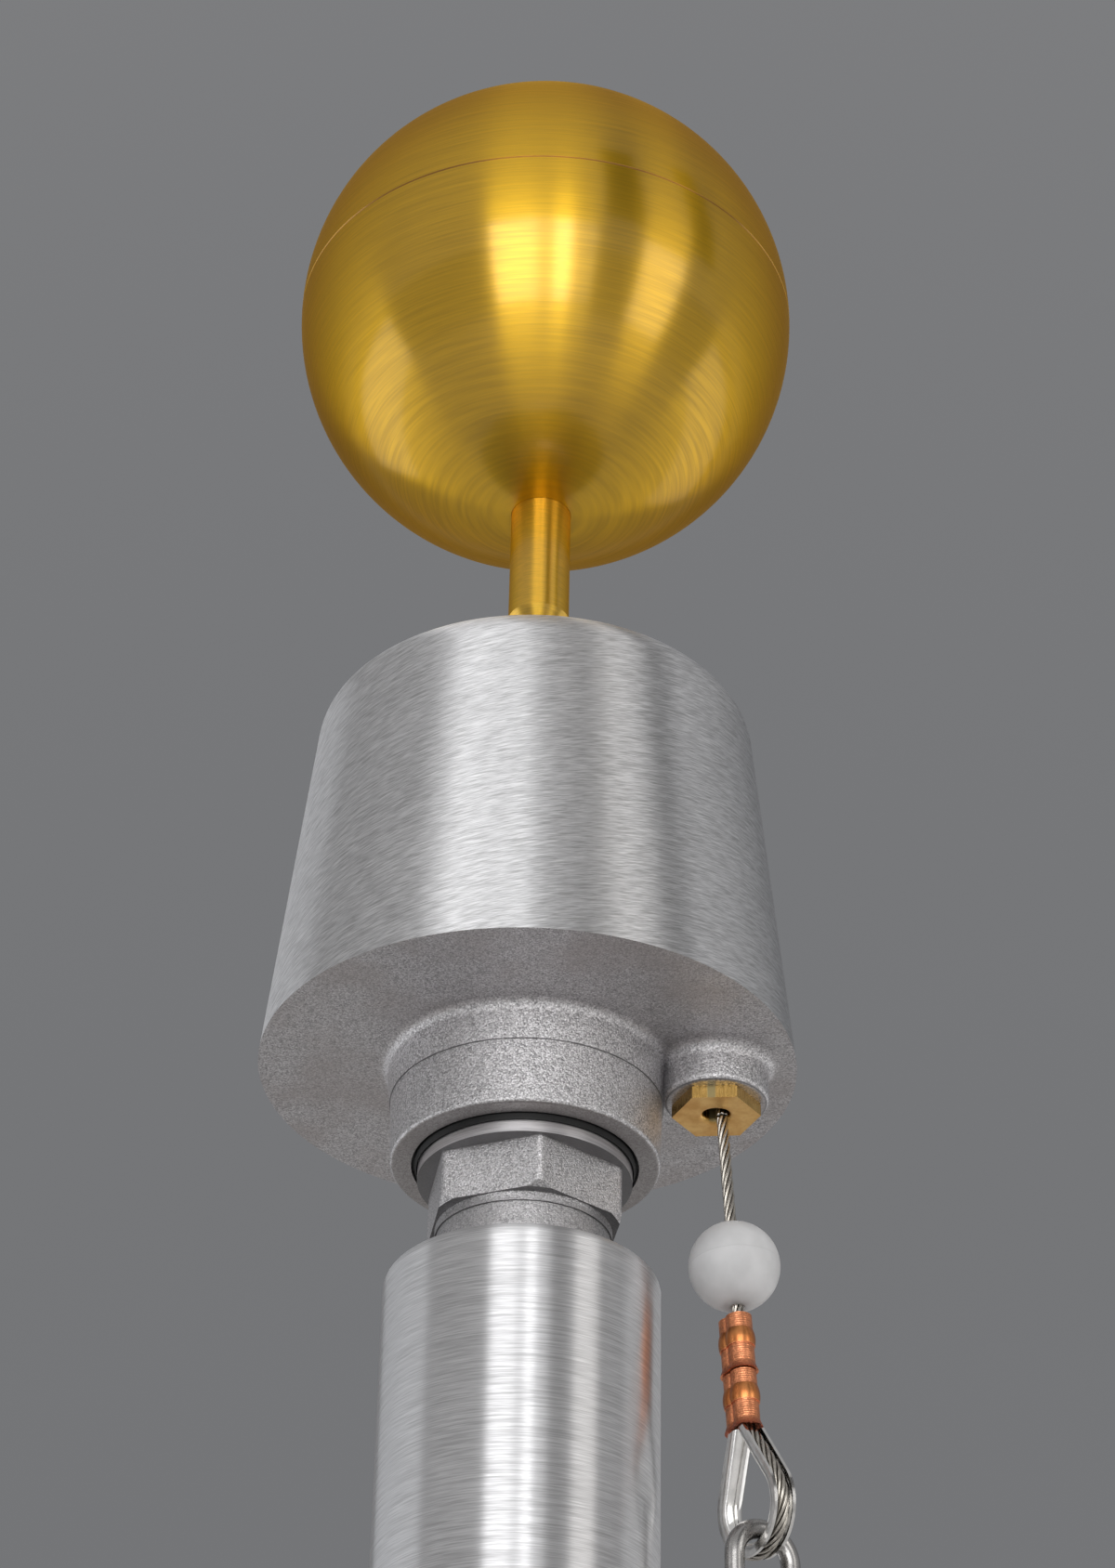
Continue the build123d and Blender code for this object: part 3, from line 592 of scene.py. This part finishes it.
def guide_brass():
    """Machined brass: clean end face with turning rings, and darker drawn sides, with a rougher
    strip down their middle whose dark colour is a painted reflection."""
    colour = (0.78, 0.54, 0.24)
    side_dark = tone((0.52, 0.32, 0.09), 0.8)
    side_light = tone((0.66, 0.42, 0.13), 1.1)
    side_dark_reflection = (0.36, 0.29, 0.14, 1.0)
    end_dark = (0.74, 0.41, 0.13, 1.0)
    end_light = (0.92, 0.59, 0.22, 1.0)
    drawn_width = 0.0004
    drawn_length = 0.006
    ring_width = 0.0003
    material, tree, shader = new_material("brass", colour, 0.32, 1.0)
    spot = position(tree)
    stains = noise(tree, spot, scale=220.0, detail=4.0, roughness=0.6)
    stretch = (1 / drawn_width, 1 / drawn_width, 1 / drawn_length)
    drawn = noise(tree, vector_calc(tree, "MULTIPLY", spot, stretch), detail=2.0)
    end = remap(tree, normal_rise(tree), -0.9, -0.5, 1.0, 0.0)
    middle = (guide_offset, 0, 0)
    angle, radius = polar(tree, middle)
    rings = {"X": calc(tree, "DIVIDE", radius, ring_width), "Y": angle}
    lathe = noise(tree, node(tree, "ShaderNodeCombineXYZ", rings).outputs[0], detail=1.0)
    # Strip down the middle of the sides: rougher, and darkened by a painted dark reflection.
    painted_dark_share = band(tree, along(tree, middle, (1, 0, 0)), -0.0020, 0.0002, 0.0003)
    painted_dark_share = calc(tree, "MULTIPLY", painted_dark_share, calc(tree, "SUBTRACT", 1.0, end))
    side_colour = shaded(tree, drawn, 0.35, 0.65, side_dark, side_light)
    side_colour = mix_colour(tree, painted_dark_share, side_colour, side_dark_reflection)
    end_colour = shaded(tree, stains, 0.35, 0.65, end_dark, end_light)
    side_rough = remap(tree, drawn, 0.35, 0.65, 0.34, 0.22)
    end_rough = remap(tree, stains, 0.35, 0.65, 0.44, 0.34)
    rough = mix_value(tree, painted_dark_share, mix_value(tree, end, side_rough, end_rough), 0.55)
    relief = mix_value(tree, end, calc(tree, "MULTIPLY", drawn, 0.5), lathe)
    whole = mix_colour(tree, end, side_colour, end_colour)
    link(tree, shader, whole, rough, bump(tree, relief, 0.00002))
    return material


def sleeve_copper():
    """Pressed copper: knurled crimp bands, smooth bulges and dark mouths."""
    colour = (0.80, 0.31, 0.15)
    bulge_dark = (0.58, 0.19, 0.06, 1.0)
    bulge_light = (0.72, 0.29, 0.10, 1.0)
    mouth_colour = (0.34, 0.07, 0.04, 1.0)
    mouth_depth = 0.0022
    ridge_pitch = 0.00062
    cut_pitch = 0.0008
    soft_edge = 0.0002
    material, tree, shader = new_material("copper", colour, 0.3, 1.0)
    along_sleeves = along(tree, sleeves_origin, up)
    local = calc(tree, "MODULO", along_sleeves, sleeve_length + sleeve_gap)
    bulge_top = sleeve_length - sleeve_upper_band
    bulge_foot = bulge_top - sleeve_bulge_length
    smooth = band(tree, local, bulge_foot + soft_edge, bulge_top - soft_edge, soft_edge)
    normal_side = along(tree, sleeves_origin, across.cross(up))
    wide_side = along(tree, sleeves_origin, across)
    ridges = calc(tree, "SINE", calc(tree, "MULTIPLY", local, 2 * pi / ridge_pitch))
    diagonal = calc(tree, "ADD", normal_side, wide_side)
    cuts = calc(tree, "SINE", calc(tree, "MULTIPLY", diagonal, 2 * pi / cut_pitch))
    spot = position(tree)
    rub = noise(tree, spot, scale=1500.0, detail=3.0)
    patches = noise(tree, spot, scale=350.0, detail=3.0)
    knurl = weighted(tree, ridges, 0.30, cuts, 0.10)
    knurl = calc(tree, "ADD", knurl, calc(tree, "MULTIPLY", rub, 1.1))
    wear = weighted(tree, rub, 0.5, patches, 0.5)
    rubbed = shaded(tree, wear, 0.36, 0.64, tone(colour, 0.62), tone(colour, 1.25))
    plain = shaded(tree, patches, 0.35, 0.65, bulge_dark, bulge_light)
    mouth = remap(tree, local, 0.0, mouth_depth, 1.0, 0.0)
    whole = mix_colour(tree, smooth, rubbed, plain)
    whole = laid_over(tree, mouth, 0.75, whole, mouth_colour)
    relief = mix_value(tree, smooth, knurl, calc(tree, "MULTIPLY", patches, 0.4))
    rough = mix_value(tree, smooth, remap(tree, rub, 0.35, 0.65, 0.46, 0.30), 0.30)
    link(tree, shader, whole, rough, bump(tree, relief, 0.00005))
    return material


def milky_nylon():
    """Milky nylon ball with a fine moulding seam and a few scuffs."""
    colour = (0.58, 0.58, 0.585)
    seam_half = 0.00010
    material, tree, shader = new_material("nylon", colour, 0.42, 0.0)
    shader.inputs["Subsurface Weight"].default_value = 1.0
    shader.inputs["Subsurface Radius"].default_value = (0.010, 0.010, 0.010)
    shader.inputs["Subsurface Scale"].default_value = 1.0
    spot = position(tree)
    clouds = noise(tree, spot, scale=120.0, detail=3.0)
    scuffs = noise(tree, spot, scale=900.0, detail=4.0, roughness=0.7)
    middle = fall_start + fall_direction * stop_ball_drop
    seam = band(tree, along(tree, middle, up), -seam_half, seam_half, 0.00012)
    whole = shaded(tree, clouds, 0.35, 0.65, tone(colour, 0.93), tone(colour, 1.05))
    whole = laid_over(tree, seam, 0.35, whole, tone(colour, 0.7))
    relief = weighted(tree, scuffs, 0.3, seam, 1.0)
    rough = remap(tree, scuffs, 0.35, 0.65, 0.36, 0.5)
    link(tree, shader, whole, rough, bump(tree, relief, 0.00004))
    return material


def acetal():
    """Plain off-white sheave plastic, a little cloudy."""
    colour = (0.70, 0.69, 0.65)
    material, tree, shader = new_material("sheave_plastic", colour, 0.4, 0.0)
    clouds = noise(tree, position(tree), scale=400.0, detail=3.0)
    tones = (tone(colour, 0.94), tone(colour, 1.04))
    link_marks(tree, shader, clouds, 0.35, 0.65, tones, (0.35, 0.48), 0.00002)
    return material


def polished_steel(name, colour, roughness):
    """Bent and polished stainless steel with faint waves and handling marks."""
    material, tree, shader = new_material(name, colour, roughness, 1.0)
    spot = position(tree)
    waves = noise(tree, spot, scale=260.0, detail=2.0)
    marks = noise(tree, spot, scale=2500.0, detail=3.0, roughness=0.7)
    shade = weighted(tree, waves, 0.6, marks, 0.4)
    link(
        tree,
        shader,
        shaded(tree, shade, 0.38, 0.62, tone(colour, 0.85), tone(colour, 1.08)),
        remap(tree, marks, 0.35, 0.65, roughness + 0.06, roughness - 0.03),
        bump(tree, calc(tree, "ADD", waves, calc(tree, "MULTIPLY", marks, 0.15)), 0.00004),
    )
    return material


def rope_steel():
    """Bright steel wires, six to a strand, with painted shade in the gaps between them and on the
    strands' sides that face the core.
    """
    colour = (0.52, 0.49, 0.44)
    gap_shade_colour = (0.10, 0.09, 0.075, 1.0)
    crevice_shade_colour = (0.045, 0.038, 0.030, 1.0)
    wires_in_strand = 6.0
    material, tree, shader = new_material("rope_steel", colour, 0.24, 1.0)
    uv = node(tree, "ShaderNodeUVMap", uv_map="lay").outputs[0]
    lay = node(tree, "ShaderNodeSeparateXYZ", {0: uv}).outputs
    turn = calc(tree, "ADD", calc(tree, "MULTIPLY", lay["X"], wires_in_strand), lay["Y"])
    ridge = calc(tree, "ABSOLUTE", calc(tree, "SINE", calc(tree, "MULTIPLY", turn, pi)))
    # Painted shade in the gaps between wires.
    gap_shade = remap(tree, ridge, 0.1, 0.6, 1.0, 0.0)
    outward = calc(tree, "COSINE", calc(tree, "MULTIPLY", lay["X"], 2 * pi))
    # Painted shade on the strands' sides that face the core.
    crevice_shade = remap(tree, outward, -0.10, 0.55, 1.0, 0.0, smooth=True)
    soil = noise(tree, position(tree), scale=500.0, detail=3.0)
    whole = shaded(tree, soil, 0.35, 0.65, tone(colour, 0.9), tone(colour, 1.2))
    whole = laid_over(tree, gap_shade, 0.35, whole, gap_shade_colour)
    whole = laid_over(tree, crevice_shade, 0.85, whole, crevice_shade_colour)
    rough = remap(tree, soil, 0.35, 0.65, 0.30, 0.20)
    link(tree, shader, whole, rough, bump(tree, ridge, 0.00004))
    return material


def straight_rope():
    """Wire rope on the pole's axis: strands drawn by their lay on a round bar, with painted shade
    in the gaps between them.
    """
    colour = (0.62, 0.60, 0.56)
    gap_shade_colour = (0.05, 0.045, 0.04, 1.0)
    material, tree, shader = new_material("straight_rope", colour, 0.26, 1.0)
    angle, _ = polar(tree)
    round_bar = calc(tree, "MULTIPLY", angle, strand_count / 2)
    down_bar = calc(tree, "MULTIPLY", height(tree), strand_count * pi / lay_length)
    turn = calc(tree, "SUBTRACT", round_bar, down_bar)
    ridge = calc(tree, "ABSOLUTE", calc(tree, "COSINE", turn))
    # Painted shade in the gaps between strands.
    gap_shade = remap(tree, ridge, 0.1, 0.6, 1.0, 0.0)
    whole = mix_colour(tree, gap_shade, tone(colour, 1), gap_shade_colour)
    link(tree, shader, whole, None, bump(tree, calc(tree, "SQRT", ridge), 0.0004))
    return material


def seal_rubber():
    """Black rubber with a fine moulded grain."""
    colour = (0.010, 0.010, 0.010)
    material, tree, shader = new_material("rubber", colour, 0.5, 0.0)
    shader.inputs["Specular IOR Level"].default_value = 0.25
    grain = noise(tree, position(tree), scale=1800.0, detail=3.0)
    tones = (tone(colour, 0.7), tone(colour, 1.6))
    link_marks(tree, shader, grain, 0.35, 0.65, tones, (0.42, 0.6), 0.00003)
    return material


def use(material, *names):
    """Give CAD nodes a material."""
    for name in names:
        for slot in nodes[name].material_slots:
            slot.material = material


def use_on_rim(material):
    """Give the truck's finish to the upright rim of the base under it."""
    mesh = nodes["truck_base"].data
    mesh.materials.append(material)
    for face in mesh.polygons:
        if face.normal.z > -0.8 and face.center.to_2d().length > truck_rim_radius:
            face.material_index = len(mesh.materials) - 1


def towards(azimuth):
    """Level direction from the pole's axis, turned to the right of the camera's."""
    turn = radians(azimuth + camera_turn)
    return Vector((sin(turn), -cos(turn), 0))


def staged_panel(name, corners, colour):
    """Dull panel that lights or darkens the object and isn't part of it."""
    mesh = bpy.data.meshes.new(name)
    mesh.from_pydata(corners, [], [(0, 1, 2, 3)])
    panel = bpy.data.objects.new(name, mesh)
    bpy.context.scene.collection.objects.link(panel)
    paint, _, shader = new_material(name + "_paint", colour, 0.9)
    shader.inputs["Specular IOR Level"].default_value = 0.0
    mesh.materials.append(paint)
    return panel


def floor_and_panels():
    """Pale floor, and dark panels that stand high beside the lamps."""
    half = floor_half
    corners = [(-half, -half, 0), (half, -half, 0), (half, half, 0), (-half, half, 0)]
    staged_panel("floor", corners, floor_colour)
    low = Vector((0, 0, panel_foot))
    high = Vector((0, 0, panel_top))
    for name, start, end in (("middle_panel", 24.0, 40.5), ("right_panel", 62.5, 75.0)):
        left = towards(start) * panel_distance
        right = towards(end) * panel_distance
        corners = [left + low, right + low, right + high, left + high]
        staged_panel(name, corners, panel_colour).visible_camera = False


def sky():
    """World that is dark behind the object, paler before it and palest below."""
    world = bpy.data.worlds.new("studio")
    world.use_nodes = True
    tree = world.node_tree
    view = node(tree, "ShaderNodeTexCoord").outputs["Generated"]
    before = vector_calc(tree, "DOT_PRODUCT", view, tuple(towards(0)), "Value")
    rise = node(tree, "ShaderNodeSeparateXYZ", {0: view}).outputs["Z"]
    whole = mix_colour(tree, remap(tree, before, -0.95, 0.6, smooth=True), sky_behind, sky_before)
    whole = mix_colour(tree, remap(tree, rise, 0.20, -0.10, smooth=True), whole, sky_below)
    background = tree.nodes["Background"]
    tree.links.new(whole, background.inputs["Color"])
    background.inputs["Strength"].default_value = 1.0
    bpy.context.scene.world = world


def lamps():
    """Upright lamps before the object and low fills at its sides, each from one azimuth to
    another, with its top, brightness and colour."""
    for name, start, end, top, brightness, colour in (
        ("key", -24.4, -4.0, lamp_top, 2.9, white_light),
        ("middle", -4.0, 3.0, lamp_top, 1.5, white_light),
        ("strip", 3.0, 10.5, lamp_top, 3.9, white_light),
        ("glow", 10.5, 21.0, lamp_top, 0.9, white_light),
        ("side", 41.0, 61.5, lamp_top, 1.5, warm_light),
        ("left_fill", -140.0, -75.0, fill_top, 1.2, cool_light),
        ("right_fill", 84.0, 150.0, fill_top, 0.8, white_light),
    ):
        light = bpy.data.lights.new(name, "AREA")
        light.shape = "RECTANGLE"
        light.size = radians(end - start) * lamp_distance
        light.size_y = top - lamp_foot
        light.spread = lamp_spread
        light.energy = pi * light.size * light.size_y * brightness * lamp_share
        light.color = colour
        lamp = bpy.data.objects.new(name, light)
        direction = towards((start + end) / 2)
        lamp.location = direction * lamp_distance + Vector((0, 0, (lamp_foot + top) / 2))
        lamp.rotation_euler = direction.to_track_quat("Z", "Y").to_euler()
        lamp.visible_camera = False
        bpy.context.scene.collection.objects.link(lamp)


def photo_camera():
    """Camera at the photograph's place."""
    forward = Vector(
        (
            sin(camera_yaw) * cos(camera_pitch),
            cos(camera_yaw) * cos(camera_pitch),
            sin(camera_pitch),
        )
    )
    level = Vector((cos(camera_yaw), -sin(camera_yaw), 0))
    raised = level.cross(forward)
    right = level * cos(camera_roll) + raised * sin(camera_roll)
    top = raised * cos(camera_roll) - level * sin(camera_roll)
    data = bpy.data.cameras.new("photo_camera")
    data.lens = focal_length
    data.sensor_width = sensor_width
    data.clip_start = nearest_seen
    camera = bpy.data.objects.new("photo_camera", data)
    axes = Matrix((right, top, -forward)).transposed().to_4x4()
    camera.matrix_world = Matrix.Translation(camera_place) @ axes
    bpy.context.scene.collection.objects.link(camera)
    bpy.context.scene.camera = camera


photo_camera()
floor_and_panels()
sky()
lamps()
bpy.context.scene.view_settings.view_transform = "Standard"

wire_finish = rope_steel()
halyard_line = spline_points("halyard_line", halyard_route)
halyard_points, halyard_length = even_steps(halyard_line, strand_step)
halyard = rope("halyard_rope", halyard_points, halyard_length)
halyard.data.materials.append(wire_finish)
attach(halyard, "truck")
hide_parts("halyard_fall", "halyard_eye")

sheave_line = spline_points("sheave_line", sheave_route)
sheave_points, sheave_length = even_steps(sheave_line, strand_step)
over_sheave = rope("rope_over_sheave", sheave_points, sheave_length)
over_sheave.data.materials.append(wire_finish)
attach(over_sheave, "truck")
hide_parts("halyard_over_sheave")

gold_ball = anodised(
    "gold_ball",
    (0.68, 0.395, 0.014),
    length=0.02,
    width=0.0004,
    depth=0.00002,
    roughness=0.32,
    anisotropy=0.92,
)
gold_stem = anodised(
    "gold_stem",
    (0.76, 0.46, 0.04),
    length=0.004,
    width=0.0003,
    depth=0.000008,
    roughness=0.36,
    anisotropy=0.8,
)
ground_steel = turned_metal("steel", (0.55, 0.55, 0.56), 0.30)
truck_finish = brushed_truck()
use(brushed_pole(), "pole_tube")
use(truck_finish, "truck_cap")
use(cast_base(), "truck_base")
use_on_rim(truck_finish)
use(cast_spindle(), "spindle")
use(turned_metal("turned_aluminium", (0.62, 0.62, 0.63), 0.35), "pole_collar")
use(gold_ball, "finial_ball_lower", "finial_ball_upper")
use(gold_stem, "finial_stem")
use(ground_steel, "lower_bearing", "upper_bearing", "bearing_spacer", "snap_ring")
use(ground_steel, "sheave_axle", "axle_clips", "finial_stud", "jam_nut")
use(straight_rope(), "halyard_in_pole")
use(guide_brass(), "halyard_guide")
use(turned_metal("bronze", (0.58, 0.38, 0.18), 0.40), "sheave_bush")
use(milky_nylon(), "stop_ball")
use(acetal(), "sheave")
use(sleeve_copper(), "upper_sleeve", "lower_sleeve")
use(polished_steel("thimble_steel", (0.84, 0.83, 0.81), 0.11), "thimble")
use(polished_steel("link_steel", (0.42, 0.41, 0.40), 0.24), "flag_link")
use(seal_rubber(), "hub_seal")
